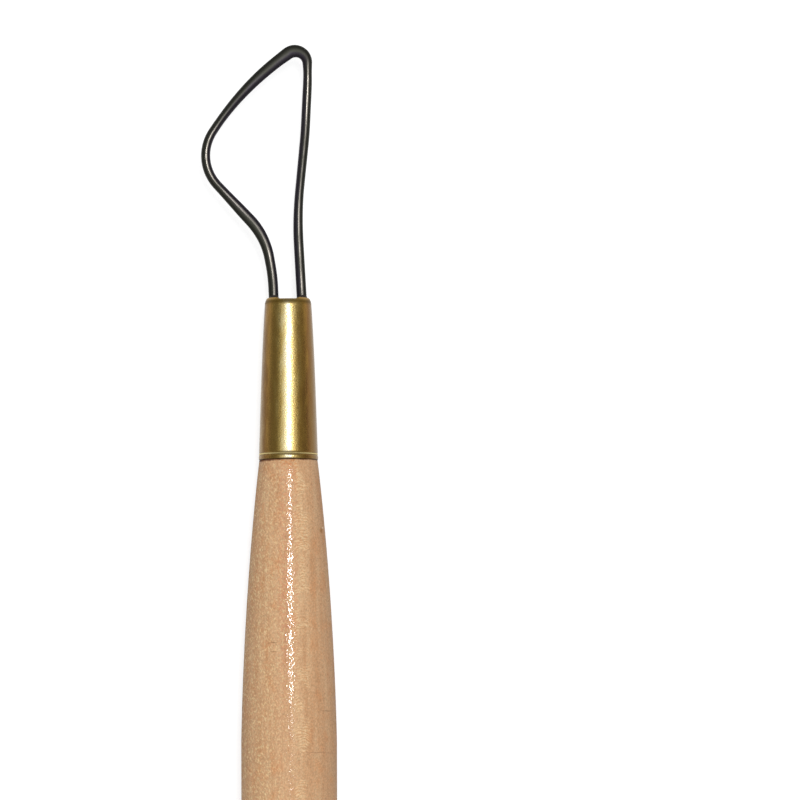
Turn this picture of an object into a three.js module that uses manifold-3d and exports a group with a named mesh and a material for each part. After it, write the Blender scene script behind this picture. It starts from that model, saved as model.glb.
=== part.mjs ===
// A double-ended trimming tool for clay: a turned hardwood handle, a tapered brass ferrule pressed
// on each of its two spigots, and a bent steel wire loop held in each ferrule by a poured filling.
// Millimetres. The tool lies on its belly, with both loops level: +Z up, +Y along the handle
// towards the heavy loop, +X across. The origin is on the flat that the belly rests on.
import * as THREE from 'three';
import { mergeVertices } from 'three/addons/utils/BufferGeometryUtils.js';
import Module from 'manifold-3d';

const wasm = await Module();
wasm.setup();

// Fineness of the faceted surfaces
const TURNED_SIDES = 30; // flats round the handle and the ferrules
const WIRE_SIDES = 10;
const HOLE_SIDES = 16;
const CURVE_STEPS = 8; // straight runs along each drawn curve
const BEND_STEP = THREE.MathUtils.degToRad(11);
const RUN_STEP = 5;

// Fits between the pieces
const SPIGOT_CLEARANCE = 0.12;
const FILLING_CLEARANCE = 0.12;
const DRILL_CLEARANCE = 0.15; // round a wire leg in its drilled hole
const WETTING_CLEARANCE = 0.08; // between the filling and the wire
const SHOULDER_SEAM = 0.12; // between the wood's shoulder and the ferrule's rim
const DRILL_END = 1; // a drilled hole goes this far past the leg's end

// Handle
const BELLY_RADIUS = 6.93;
const BELT_LENGTH = 6; // straight belt at the belly
const LYING_FLAT = 0.2; // depth of the narrow flat under the belly
const SPIGOT_CHAMFER = 0.5;

// Shared ferrule details
const BEAD_HEIGHT = 0.62; // polished bead round the rim
const RIM_ROUNDING = 0.1;
const GROOVE_DEPTH = 0.12; // turned groove above the bead
const GROOVE_HEIGHT = 0.18;

// Shared wire details
const ROOT_RADIUS = 14; // bend of each leg where it leaves the mouth
const ROOT_DEPTH = 0.8; // and how far that bend lies inside

// One record for each end of the tool. Lengths run from the wood's shoulder, and depths and rises
// from the ferrule's mouth. A loop's bends are listed from its right leg round to its left one, each
// at the corner where its straight runs would meet.
const heavyEnd = {
  woodTaper: 41, // belt to shoulder
  woodStep: -0.07, // how far the wood's shoulder stands proud of the ferrule's rim
  woodSwell: { along: 21.1, out: 2.45 }, // the taper's slope as it leaves the shoulder
  woodEase: 0.5, // and the length over which it flattens into the belt

  ferruleLength: 23.6,
  ferruleWall: 0.32,
  rimRadius: 4.31,
  lowRadius: 4.06,
  highRadius: 3.91,
  shoulderRadius: 3.4,
  lipRadius: 3.14,
  lipEdge: 0.14, // thickness of the drawn-in lip
  lipHeight: 1.1,

  fillingDepth: 7, // down to the spigot's end
  fillingDrop: 0.25, // from the lip to the filling's top
  web: null, // no filling shows above the lip

  wireDiameter: 1.3,
  legDepth: 13.5,
  leftLegGap: 0.3, // from the lip's inside
  rightLegGap: 0.32,
  rightLegWidth: 1.46,
  leftLegWidth: 1.42,
  loop: {
    waist: { across: 1.34, rise: 12.09, radius: 54.6, width: 1.44, leavingWidth: 1.29 },
    shin: { across: 2.53, rise: 23.99, radius: 60.2, width: 1.34 },
    crook: { across: 2.95, rise: 32.36, radius: 40.4, width: 1.33, leavingWidth: 1.23 },
    tip: { across: 2.77, rise: 37.82, radius: 1.78, width: 1.51, leavingWidth: 1.96 },
    blade: { across: -6.45, rise: 31.12, radius: 42, width: 1.76, leavingWidth: 1.26 },
    haunch: { across: -10.76, rise: 24.66, radius: 18, width: 1.33 },
    belly: { across: -13.68, rise: 20.27, radius: 6.4, width: 1.31, leavingWidth: 1.37 },
    neck: { across: -3.28, rise: 9.07, radius: 11, width: 1.69, leavingWidth: 1.49 },
    ankle: { across: -2.22, rise: 3.2, radius: 25, width: 1.45 },
  },
};

const fineEnd = {
  woodTaper: 35.5,
  woodStep: 0.04,
  woodSwell: { along: 14.4, out: 2.12 },
  woodEase: 7.5,

  ferruleLength: 24,
  ferruleWall: 0.3,
  rimRadius: 4.41,
  lowRadius: 3.85,
  highRadius: 4.13,
  shoulderRadius: 3.56,
  lipRadius: 3.34,
  lipEdge: 0.14,
  lipHeight: 1.2,

  fillingDepth: 7.5,
  fillingDrop: 0.1,
  web: { height: 1.2, creep: 1.1, thickness: 1.3 }, // above the lip, and farther up along the legs

  wireDiameter: 0.95,
  legDepth: 13.5,
  leftLegGap: 0.18,
  rightLegGap: 0.53,
  rightLegWidth: 0.95,
  leftLegWidth: 1.0,
  loop: {
    instep: { across: 2.34, rise: 2.66, radius: 30, width: 1.12, leavingWidth: 1.04 },
    sweep: { across: 3.67, rise: 12, radius: 90, width: 0.97, leavingWidth: 0.95 },
    tip: { across: 10.79, rise: 39.26, radius: 1.75, width: 1.07, leavingWidth: 1.1 },
    blade: { across: -0.4, rise: 28.81, radius: 100, width: 1.11, leavingWidth: 1.17 },
    corner: { across: -7.15, rise: 21.46, radius: 4.7, width: 1.08, leavingWidth: 1.18 },
    foot: { across: -3.51, rise: 6.42, radius: 60, width: 1.17, leavingWidth: 1.04 },
    ankle: { across: -2.67, rise: 1.93, radius: 30, width: 1.07 },
  },
};

// Materials
const wood = new THREE.MeshStandardMaterial({ color: '#d8b083', roughness: 0.42 });
const brass = new THREE.MeshStandardMaterial({ color: '#a88a45', roughness: 0.36, metalness: 1 });
const darkSteel = new THREE.MeshStandardMaterial({ color: '#34342f', roughness: 0.35, metalness: 1 });
const paleSteel = new THREE.MeshStandardMaterial({ color: '#9a9288', roughness: 0.4, metalness: 1 });
const solder = new THREE.MeshStandardMaterial({ color: '#5a5450', roughness: 0.55, metalness: 0.6 });

// Solids from closed meshes, for joining and cutting
function toSolid(geometry) {
  const bare = new THREE.BufferGeometry();
  bare.setAttribute('position', geometry.getAttribute('position'));
  bare.setIndex(geometry.getIndex());
  const merged = mergeVertices(bare, 1e-5);
  const corners = merged.getIndex().array;
  const triVerts = [];
  for (let i = 0; i < corners.length; i += 3) {
    const [a, b, c] = corners.slice(i, i + 3);
    if (a !== b && b !== c && c !== a) triVerts.push(a, b, c);
  }
  return new wasm.Manifold(new wasm.Mesh({
    numProp: 3,
    vertProperties: new Float32Array(merged.getAttribute('position').array),
    triVerts: new Uint32Array(triVerts),
  }));
}

function toGeometry(solid) {
  const mesh = solid.getMesh();
  const geometry = new THREE.BufferGeometry();
  geometry.setAttribute('position', new THREE.BufferAttribute(mesh.vertProperties, 3));
  geometry.setIndex(new THREE.BufferAttribute(mesh.triVerts, 1));
  geometry.computeVertexNormals();
  return geometry;
}

// A turned piece about the Y axis, with one of its flats square to -Z
function turn(profile, sides = TURNED_SIDES) {
  return new THREE.LatheGeometry(profile, sides, Math.PI / sides);
}

function point(radius, along) {
  return new THREE.Vector2(radius, along);
}

// Radius of a profile at a place along it, between its listed points
function radiusAt(profile, along) {
  for (let i = 1; i < profile.length; i += 1) {
    const [low, high] = [profile[i - 1], profile[i]];
    if (along <= high.y) {
      return THREE.MathUtils.mapLinear(along, low.y, high.y, low.x, high.x);
    }
  }
  return profile.at(-1).x;
}

// The ferrule's outside without its bead: a long swelling taper, then a rounded lip
function ferruleOutline(end) {
  const shoulder = end.ferruleLength - end.lipHeight;
  const taper = new THREE.CubicBezierCurve(
    point(end.rimRadius, 0),
    point(end.lowRadius, shoulder * 0.3),
    point(end.highRadius, shoulder * 0.65),
    point(end.shoulderRadius, shoulder),
  ).getPoints(CURVE_STEPS);
  const lip = new THREE.QuadraticBezierCurve(
    point(end.shoulderRadius, shoulder),
    point(end.shoulderRadius, end.ferruleLength - 0.25 * end.lipHeight),
    point(end.lipRadius, end.ferruleLength),
  ).getPoints(3);
  return [...taper, ...lip.slice(1)];
}

// The bore follows the outside at the wall's thickness, and the lip thins towards its edge
function ferruleBore(end) {
  return ferruleOutline(end).map(({ x, y }) => {
    const intoLip = Math.max(0, (y - end.ferruleLength) / end.lipHeight + 1);
    return point(x - THREE.MathUtils.lerp(end.ferruleWall, end.lipEdge, intoLip), y);
  });
}

function lipBore(end) {
  return end.lipRadius - end.lipEdge;
}

function ferrule(end) {
  const outline = ferruleOutline(end);
  const bore = ferruleBore(end);
  const grooveTop = BEAD_HEIGHT + GROOVE_HEIGHT;
  const beadRadius = radiusAt(outline, BEAD_HEIGHT);
  const bead = [
    point(end.rimRadius - RIM_ROUNDING, SHOULDER_SEAM),
    point(end.rimRadius, SHOULDER_SEAM + RIM_ROUNDING),
    point(beadRadius, BEAD_HEIGHT),
    point(beadRadius - GROOVE_DEPTH, BEAD_HEIGHT + GROOVE_HEIGHT / 2),
    point(radiusAt(outline, grooveTop), grooveTop),
  ];
  const start = radiusAt(bore, SHOULDER_SEAM);
  return turn([
    point(start, SHOULDER_SEAM),
    ...bead,
    ...outline.filter(({ y }) => y > grooveTop),
    ...bore.filter(({ y }) => y > SHOULDER_SEAM).reverse(),
    point(start, SHOULDER_SEAM),
  ]);
}

// Where the two legs stand: against the inside of the lip
function legPlaces(end) {
  const reach = lipBore(end) - end.wireDiameter / 2;
  return { left: -(reach - end.leftLegGap), right: reach - end.rightLegGap };
}

// The wire's route as bends between straight runs, in the plane of the loop
function wireBends(end) {
  const { left, right } = legPlaces(end);
  const root = end.ferruleLength - ROOT_DEPTH;
  const foot = end.ferruleLength - end.legDepth;
  const loop = Object.values(end.loop).map((bend) => (
    { at: point(bend.across, end.ferruleLength + bend.rise), ...bend }));
  return [
    { at: point(right, foot), width: end.wireDiameter },
    { at: point(right, root), radius: ROOT_RADIUS, width: end.rightLegWidth },
    ...loop,
    { at: point(left, root), radius: ROOT_RADIUS, width: end.leftLegWidth },
    { at: point(left, foot), width: end.wireDiameter },
  ];
}

// Stations along the wire: a place, its heading and the wire's width there. Each bend is an arc
// tangent to the runs on both sides of it.
function wireStations(end) {
  const bends = wireBends(end);
  const stations = [{ at: bends[0].at, heading: 0, width: bends[0].width }];
  stations[0].heading = bends[1].at.clone().sub(bends[0].at).angle();
  for (let i = 1; i < bends.length - 1; i += 1) {
    const { at, radius, width, leavingWidth = width } = bends[i];
    const incoming = at.clone().sub(bends[i - 1].at).normalize();
    const outgoing = bends[i + 1].at.clone().sub(at).normalize();
    const turnAngle = Math.atan2(incoming.cross(outgoing), incoming.dot(outgoing));
    const setback = radius * Math.tan(Math.abs(turnAngle) / 2);
    const start = at.clone().addScaledVector(incoming, -setback);
    const towardsCentre = point(-incoming.y, incoming.x).multiplyScalar(Math.sign(turnAngle));
    const centre = start.clone().addScaledVector(towardsCentre, radius);
    const steps = Math.max(2, Math.ceil(Math.abs(turnAngle) / BEND_STEP));
    for (let k = 0; k <= steps; k += 1) {
      stations.push({
        at: start.clone().rotateAround(centre, turnAngle * k / steps),
        heading: incoming.angle() + turnAngle * k / steps,
        width: THREE.MathUtils.lerp(width, leavingWidth, k / steps),
      });
    }
  }
  const last = bends.at(-1);
  stations.push({ at: last.at, heading: stations.at(-1).heading, width: last.width });
  return blendWidths(splitRuns(stations));
}

// Long straight runs get stations of their own, so that the width can change along them
function splitRuns(stations) {
  const split = [stations[0]];
  for (const next of stations.slice(1)) {
    const from = split.at(-1);
    const parts = Math.ceil(from.at.distanceTo(next.at) / RUN_STEP);
    for (let k = 1; k < parts; k += 1) {
      split.push({ at: from.at.clone().lerp(next.at, k / parts), heading: from.heading, width: null });
    }
    split.push(next);
  }
  return split;
}

// Widths run evenly from one bend to the next
function blendWidths(stations) {
  let from = 0;
  for (let i = 1; i < stations.length; i += 1) {
    if (stations[i].width === null) continue;
    for (let k = from + 1; k < i; k += 1) {
      const share = (k - from) / (i - from);
      stations[k].width = THREE.MathUtils.lerp(stations[from].width, stations[i].width, share);
    }
    from = i;
  }
  return stations;
}

// Round wire drawn along its stations. Where it is hammered wider it is as much thinner.
function wire(end, growth = 0) {
  const stations = wireStations(end);
  const positions = [];
  for (const { at, heading, width } of stations) {
    const thickness = end.wireDiameter ** 2 / width;
    const across = point(-Math.sin(heading), Math.cos(heading));
    for (let k = 0; k < WIRE_SIDES; k += 1) {
      const angle = 2 * Math.PI * (k + 0.5) / WIRE_SIDES;
      const sideways = Math.cos(angle) * (width / 2 + growth);
      const up = Math.sin(angle) * (thickness / 2 + growth);
      positions.push(at.x + across.x * sideways, at.y + across.y * sideways, up);
    }
  }
  return closedTube(positions, stations.length, WIRE_SIDES);
}

// Rings of points joined into a tube with flat ends
function closedTube(positions, rings, sides) {
  const faces = [];
  for (let ring = 1; ring < rings; ring += 1) {
    for (let k = 0; k < sides; k += 1) {
      const [a, b] = [(ring - 1) * sides + k, (ring - 1) * sides + (k + 1) % sides];
      faces.push(a, b, a + sides, b, b + sides, a + sides);
    }
  }
  const last = (rings - 1) * sides;
  for (let k = 1; k < sides - 1; k += 1) {
    faces.push(0, k + 1, k);
    faces.push(last, last + k, last + k + 1);
  }
  const geometry = new THREE.BufferGeometry();
  geometry.setAttribute('position', new THREE.Float32BufferAttribute(positions, 3));
  geometry.setIndex(faces);
  geometry.computeVertexNormals();
  return geometry;
}

// The filling: a plug between the spigot's end and the mouth and, where the metal has crept up
// between the legs, a thin web with a hollow top edge
function filling(end) {
  const bore = ferruleBore(end);
  const bottom = spigotLength(end) + FILLING_CLEARANCE;
  const top = end.ferruleLength - end.fillingDrop;
  const side = bore.filter(({ y }) => y > bottom && y < top);
  const plug = turn([
    point(0, bottom),
    point(radiusAt(bore, bottom) - FILLING_CLEARANCE, bottom),
    ...side.map(({ x, y }) => point(x - FILLING_CLEARANCE, y)),
    point(radiusAt(bore, top) - FILLING_CLEARANCE, top),
    point(0, top),
  ]);
  let solid = toSolid(plug);
  if (end.web) solid = solid.add(toSolid(fillingWeb(end, top)));
  return toGeometry(solid.subtract(toSolid(wire(end, WETTING_CLEARANCE))));
}

function fillingWeb(end, top) {
  const { left, right } = legPlaces(end);
  const saddle = end.ferruleLength + end.web.height;
  const creep = saddle + end.web.creep;
  const rooted = top - end.web.thickness;
  const shape = new THREE.Shape();
  shape.moveTo(left, rooted);
  shape.lineTo(right, rooted);
  shape.lineTo(right, creep);
  shape.quadraticCurveTo(right - end.wireDiameter, saddle, (left + right) / 2, saddle);
  shape.quadraticCurveTo(left + end.wireDiameter, saddle, left, creep);
  shape.closePath();
  const settings = { depth: end.web.thickness, bevelEnabled: false, curveSegments: 5 };
  return new THREE.ExtrudeGeometry(shape, settings).translate(0, 0, -end.web.thickness / 2);
}

// The wood's spigot fills the ferrule up to the filling
function spigotLength(end) {
  return end.ferruleLength - end.fillingDepth;
}

// One half of the handle's profile, from the spigot's end to the belt
function woodProfile(end) {
  const bore = ferruleBore(end);
  const length = spigotLength(end);
  const spigotRoot = radiusAt(bore, SHOULDER_SEAM) - SPIGOT_CLEARANCE;
  const spigotTip = radiusAt(bore, length) - SPIGOT_CLEARANCE;
  const shoulderRadius = end.rimRadius + end.woodStep;
  const taper = new THREE.CubicBezierCurve(
    point(shoulderRadius, 0),
    point(shoulderRadius + end.woodSwell.out, end.woodSwell.along),
    point(BELLY_RADIUS, end.woodTaper - end.woodEase),
    point(BELLY_RADIUS, end.woodTaper),
  ).getPoints(CURVE_STEPS + 2);
  return [
    point(0, -length),
    point(spigotTip - SPIGOT_CHAMFER, -length),
    point(spigotTip, -length + SPIGOT_CHAMFER),
    point(radiusAt(bore, length / 2) - SPIGOT_CLEARANCE, -length / 2),
    point(spigotRoot, 0),
    ...taper,
  ];
}

// Where each shoulder stands along the tool, from the middle of the belt
function shoulderPlace(end) {
  return BELT_LENGTH / 2 + end.woodTaper;
}

function drilledHole(end, across, direction) {
  const radius = end.wireDiameter / 2 + DRILL_CLEARANCE;
  const bottom = end.ferruleLength - end.legDepth - DRILL_END;
  const drill = new THREE.CylinderGeometry(radius, radius, end.ferruleLength - bottom, HOLE_SIDES);
  const middle = shoulderPlace(end) + (end.ferruleLength + bottom) / 2;
  return toSolid(drill.translate(across * direction, middle * direction, 0));
}

// What is planed off under the belly, so that the round handle has a face to lie on
function planedSlice() {
  const size = 2 * BELLY_RADIUS;
  const slice = new THREE.BoxGeometry(size, 2 * shoulderPlace(heavyEnd), size);
  return toSolid(slice.translate(0, 0, LYING_FLAT - BELLY_RADIUS - size / 2));
}

function handle() {
  const heavyHalf = woodProfile(heavyEnd).map(({ x, y }) => point(x, shoulderPlace(heavyEnd) - y));
  const fineHalf = woodProfile(fineEnd).map(({ x, y }) => point(x, y - shoulderPlace(fineEnd)));
  let solid = toSolid(turn([...fineHalf, ...heavyHalf.reverse()])).subtract(planedSlice());
  for (const [end, direction] of [[heavyEnd, 1], [fineEnd, -1]]) {
    for (const across of Object.values(legPlaces(end))) {
      solid = solid.subtract(drilledHole(end, across, direction));
    }
  }
  return toGeometry(solid);
}

function named(name, geometry, material) {
  const mesh = new THREE.Mesh(geometry, material);
  mesh.name = name;
  return mesh;
}

// Ferrule, wire and filling of one end, standing on the wood's shoulder and pointing along +Y
function workingEnd(end, name, wireMaterial) {
  const group = new THREE.Group();
  group.add(
    named(`${name}_ferrule`, ferrule(end), brass),
    named(`${name}_wire_loop`, wire(end), wireMaterial),
    named(`${name}_solder_filling`, filling(end), solder),
  );
  return group;
}

const tool = new THREE.Group();
const heavy = workingEnd(heavyEnd, 'heavy', darkSteel);
heavy.position.y = shoulderPlace(heavyEnd);
const fine = workingEnd(fineEnd, 'fine', paleSteel);
fine.position.y = -shoulderPlace(fineEnd);
fine.rotation.z = Math.PI;
tool.add(named('wood_handle', handle(), wood), heavy, fine);
tool.position.z = BELLY_RADIUS - LYING_FLAT;

export default tool;
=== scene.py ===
"""Looks of a double-ended trimming tool for clay: a turned and lacquered maple handle, a drawn brass
ferrule on each of its spigots, and a bent steel wire loop soldered into each ferrule's mouth.

Everything is in metres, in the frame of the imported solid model: the tool lies along Y on the floor,
with its thick dark loop at +Y and its thin pale loop at -Y."""

import math

import bmesh
import bpy
from bpy.props import FloatProperty, FloatVectorProperty, PointerProperty
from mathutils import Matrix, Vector


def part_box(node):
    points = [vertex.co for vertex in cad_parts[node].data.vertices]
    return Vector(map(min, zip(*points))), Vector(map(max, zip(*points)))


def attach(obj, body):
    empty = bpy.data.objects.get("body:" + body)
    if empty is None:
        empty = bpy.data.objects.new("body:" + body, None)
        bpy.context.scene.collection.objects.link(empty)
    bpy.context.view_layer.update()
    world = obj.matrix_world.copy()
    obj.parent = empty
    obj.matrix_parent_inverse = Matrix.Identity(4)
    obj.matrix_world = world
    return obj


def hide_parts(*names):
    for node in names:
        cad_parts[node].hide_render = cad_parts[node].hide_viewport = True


bl_info = {
    "name": "Clay Loop Tool",
    "version": (1, 0, 0),
    "blender": (4, 5, 0),
    "location": "3D View > Sidebar > Loop Tool",
    "description": "Builds a double-ended wire loop tool for clay round its packed solid model",
    "category": "Object",
}

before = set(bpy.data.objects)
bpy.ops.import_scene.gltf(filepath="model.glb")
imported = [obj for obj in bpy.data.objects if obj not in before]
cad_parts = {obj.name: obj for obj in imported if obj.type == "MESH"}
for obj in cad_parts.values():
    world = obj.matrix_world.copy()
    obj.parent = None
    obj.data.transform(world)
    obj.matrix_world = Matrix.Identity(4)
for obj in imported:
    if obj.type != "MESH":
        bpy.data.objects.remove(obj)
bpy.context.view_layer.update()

MM = 0.001

# Fineness of the meshes
TURNED_SIDES = 160
CURVE_STEPS = 48
LIP_STEPS = 20
SPIGOT_STEPS = 10
DRILL_SIDES = 48
PLUG_STEPS = 11
TOP_STEPS = 41
WEB_STEPS = 48
WEB_ROUND_STEPS = 12
SWEEP_SIDES = 96
SWEEP_STEPS = 12
WIRE_SIDES = 32
WIRE_STEP = 0.3 * MM
BEND_STEP = math.radians(3)

# Sizes that both ends share
SEAM = 0.12 * MM  # between the wood's shoulder and the ferrule's rim
SPIGOT_CLEARANCE = 0.12 * MM
FILLING_CLEARANCE = 0.02 * MM
DRILL_CLEARANCE = 0.15 * MM
DRILL_END = 1 * MM
LEG_DEPTH = 13.5 * MM  # of the wire below the mouth
ROOT_RADIUS = 14 * MM  # bend of each leg where it leaves the mouth
ROOT_DEPTH = 0.8 * MM
LIP_EDGE = 0.14 * MM  # thickness of the drawn-in lip
BELLY_RADIUS = 6.93 * MM
SPIGOT_CHAMFER = 0.5 * MM
EDGE_ROUNDING = 0.1 * MM  # where the wood's shoulder turns out to the taper
HIGHLIGHT_LEAN = 0.22  # sideways lean of the band of painted highlight on the wires
LOW_PULL = 0.3  # places of the taper's two pulls, as shares of its length
HIGH_PULL = 0.65
# Pulls on the lip's curve: share of the way out from its edge to the shoulder, and depth below the
# mouth as a share of the lip's height
LIP_PULLS = ((1, 0.5), (0.4, 0.06))
# Two points round the lip's edge: share of the way in, and depth below the mouth in millimetres
LIP_EDGE_POINTS = ((0.3, 0.02), (0.7, 0.07))
LIP_TUCK = 0.05 * MM  # of those two points towards the axis
BORE_START = 0.3 * MM  # from the shoulder, where the bore's curve begins
DIP_HALF_WIDTHS = (1.0 * MM, 1.8 * MM)  # of the lip's dip where it is full, and at its edge
DIP_DEPTHS = (1.9 * MM, 0.1 * MM)  # below the mouth, where the dip begins and where it is full

# The fillings: how far the metal crept, and over what distance that dies away
LEG_CREEP_REACH = 0.17 * MM
WALL_CREEP = 0.12 * MM
WALL_CREEP_REACH = 0.15 * MM
PLUG_GAP = 0.12 * MM  # between the spigot's end and the filling
PLUG_EDGE = 0.35 * MM  # from the filling's side up to its top
WEB_RISE = 1.05 * MM  # of the web above the mouth, midway between the legs
WEB_CREEP = 0.65 * MM  # further, beside each leg
WEB_CREEP_REACH = 0.28 * MM
WEB_HALF_THICKNESS = (0.26, 0.44)  # in millimetres, midway and beside each leg
WEB_ROUNDING = 0.3 * MM
WEB_ROOT = 1.3 * MM  # below the mouth

# The stage: a round floor that bends up at its edge, and the place the camera looks at, which lies
# beside the thick loop's ferrule
SWEEP_RADIUS = 2.9
SWEEP_BEND = 0.3
AIM_ASIDE = 16.225 * MM
AIM_BEFORE_MOUTH = 14.86 * MM

# The ferrule's rim, in millimetres: how far it stands out from the rim's radius, and how far along.
# First the rolled bead, then a valley, a sharp little ridge and a turned groove.
RIM_BEAD = (
    (-0.12, 0.03),
    (-0.06, 0.06),
    (-0.02, 0.15),
    (0.0, 0.26),
    (0.01, 0.38),
    (0.0, 0.5),
    (-0.02, 0.59),
    (-0.05, 0.67),
    (-0.1, 0.74),
    (-0.08, 0.79),
    (-0.03, 0.84),
    (-0.02, 0.88),
    (-0.04, 0.92),
    (-0.09, 0.98),
    (-0.1, 1.02),
    (-0.06, 1.07),
)
RIM_END = 1.14 * MM

# The bends of each loop, from its right leg round to its left one, in millimetres: across, rise
# above the mouth, bend radius, and the wire's width as it comes and as it leaves
HEAVY_LOOP = (
    (1.34, 12.09, 54.6, 1.44, 1.29),
    (2.53, 23.99, 60.2, 1.34, 1.34),
    (2.95, 32.36, 40.4, 1.33, 1.23),
    (2.77, 37.82, 1.78, 1.51, 1.96),
    (-6.45, 31.12, 42, 1.76, 1.26),
    (-10.76, 24.66, 18, 1.33, 1.33),
    (-13.68, 20.27, 6.4, 1.31, 1.37),
    (-3.28, 9.07, 11, 1.69, 1.49),
    (-2.22, 3.2, 25, 1.45, 1.45),
)
FINE_LOOP = (
    (2.34, 2.66, 30, 1.12, 1.04),
    (3.67, 12, 90, 0.97, 0.95),
    (10.79, 39.26, 1.75, 1.07, 1.1),
    (-0.4, 28.81, 100, 1.11, 1.17),
    (-7.15, 21.46, 4.7, 1.08, 1.18),
    (-3.51, 6.42, 60, 1.17, 1.04),
    (-2.67, 1.93, 30, 1.07, 1.07),
)


def srgb(code, alpha=1.0):
    """The linear colour of an sRGB hex value. Its alpha says how much of it lies over another."""
    parts = (int(code[i : i + 2], 16) / 255 for i in (1, 3, 5))
    return (*(p / 12.92 if p <= 0.04045 else ((p + 0.055) / 1.055) ** 2.4 for p in parts), alpha)


def grey(value):
    return (value, value, value, 1)


def fading(code, alpha):
    """The colour stops of a mark that is strongest in its middle."""
    return ((0, srgb(code, alpha)), (1, srgb(code, 0)))


# The curly figure: how far its band lies beside the middle, how far apart its arches are, and how
# strongly they bend, per metre
CURL_PLACE = 1.95 * MM
CURL_SPACING = 0.42 * MM
CURL_BEND = 250

# Marks in the wood's upper face, in millimetres: place across and along, half sizes, and colours
# from the middle outwards. They are a pin knot with the light on its rim, and hairline cracks.
KNOT = ((0, srgb("#94632F", 0.85)), (0.4, srgb("#A87440", 0.6)), (1, srgb("#B98A50", 0)))
WOOD_MARKS = (
    ((4.75, 33.65), (0.32, 0.65), KNOT),
    ((4.95, 34.1), (0.16, 0.2), fading("#F2E2C4", 0.9)),
    ((-2.15, 17.35), (0.7, 0.11), fading("#6B4228", 0.8)),
    ((-2.1, 16.05), (0.7, 0.1), fading("#6B4228", 0.7)),
    ((5.5, 7.55), (0.9, 0.1), fading("#6B4228", 0.6)),
    ((4.2, 1.55), (2.6, 0.12), fading("#9A6448", 0.5)),
)

# Painted reflection on each ferrule, by place across it in millimetres: a pale painted highlight along its
# top and darker painted bands of reflection down its sides
HEAVY_PAINTED_REFLECTION = (
    (-4.2, srgb("#8C7450", 0.8)),
    (-3.4, srgb("#684822", 0.9)),
    (-2.7, srgb("#84602E", 0.7)),
    (-1.9, srgb("#8E7034", 0.7)),
    (-1.2, srgb("#A68E52", 0.8)),
    (-0.6, srgb("#B4A474", 1)),
    (0.1, srgb("#B8AE92", 1)),
    (0.6, srgb("#B4A06C", 0.9)),
    (1.2, srgb("#B49858", 0.9)),
    (2.0, srgb("#9C7634", 0.7)),
    (2.9, srgb("#744E28", 0.85)),
    (3.6, srgb("#7C6038", 0.9)),
)
FINE_PAINTED_REFLECTION = (
    (-4.2, srgb("#8E7A5E", 0.9)),
    (-3.0, srgb("#7C6034", 0.8)),
    (-1.9, srgb("#866A38", 0.8)),
    (-1.1, srgb("#927C48", 0.8)),
    (-0.3, srgb("#9C8E66", 0.9)),
    (0.7, srgb("#907A46", 0.8)),
    (1.5, srgb("#6C5428", 0.85)),
    (2.6, srgb("#684E26", 0.8)),
    (3.4, srgb("#907446", 0.8)),
    (4.2, srgb("#8E8474", 0.8)),
)

# Painted lines on the ferrules, by distance from the wood and, at the lips, ending at the mouth: a dark
# line at the seam, the bead, painted shade in a valley, a painted highlight on a ridge and painted shade
# in a groove
RIM_PAINTED_LINES = (
    (0.12, srgb("#3A2618", 0.7)),
    (0.2, srgb("#9C8248", 0)),
    (0.62, srgb("#9C8248", 0)),
    (0.7, srgb("#4A3418", 0.7)),
    (0.78, srgb("#4A3418", 0.5)),
    (0.83, srgb("#EBD898", 0.9)),
    (0.9, srgb("#EBD898", 0.9)),
    (0.98, srgb("#4A3418", 0.6)),
    (1.06, srgb("#9C8248", 0)),
)
# At each lip, painted shade in a band under its edge, then a paler painted reflection on the edge itself
HEAVY_LIP_PAINTED_LINES = (
    (22.5, srgb("#6E561F", 0)),
    (22.95, srgb("#584414", 0.75)),
    (23.2, srgb("#6B5420", 0.7)),
    (23.4, srgb("#A8884C", 0.8)),
)
FINE_LIP_PAINTED_LINES = (
    (23.3, srgb("#4A2A1C", 0)),
    (23.5, srgb("#4A2A1C", 0.8)),
    (23.75, srgb("#4A2A1C", 0.8)),
    (23.85, srgb("#CDBB96", 0.8)),
)

# How strong the painted highlight on the wires is, by distance along each from its right leg's end: the
# legs and the belly of the thick one, but not its tip and blade, and all of the thin one
HEAVY_HIGHLIGHT_ALONG = (
    (0, grey(0.7)),
    (27, grey(0.7)),
    (29, grey(0.4)),
    (38, grey(0.4)),
    (41, grey(1)),
    (46.5, grey(1)),
    (48.5, grey(0.05)),
    (63, grey(0.05)),
    (66, grey(0.3)),
    (68.5, grey(1)),
    (74, grey(0.9)),
    (77, grey(0.45)),
    (86, grey(0.45)),
    (89, grey(0.8)),
)
FINE_HIGHLIGHT_ALONG = ((0, grey(1)), (60, grey(1)))


def smooth(low, high, value):
    """0 up to low, 1 from high on, and an S curve in between."""
    t = min(max((value - low) / (high - low), 0), 1)
    return t * t * (3 - 2 * t)


def mix(a, b, t):
    return a + (b - a) * t


def curve(corners, steps=CURVE_STEPS):
    """The points of the curve that the corners pull, its two ends among them."""
    points = []
    for i in range(steps + 1):
        layer = [Vector(c) for c in corners]
        while len(layer) > 1:
            layer = [a.lerp(b, i / steps) for a, b in zip(layer, layer[1:])]
        points.append(layer[0])
    return points


def radius_at(profile, along):
    """The radius of a profile at a place along it."""
    for low, high in zip(profile, profile[1:]):
        if along <= high.y:
            return mix(low.x, high.x, (along - low.y) / (high.y - low.y))
    return profile[-1].x


def metres(name, description, default):
    """A setting that is a length."""
    return FloatProperty(name=name, description=description, default=default, unit="LENGTH")


def tint(name, description, code):
    """A setting that is a colour."""
    return FloatVectorProperty(
        name=name, description=description, default=srgb(code), subtype="COLOR", size=4
    )


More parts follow.
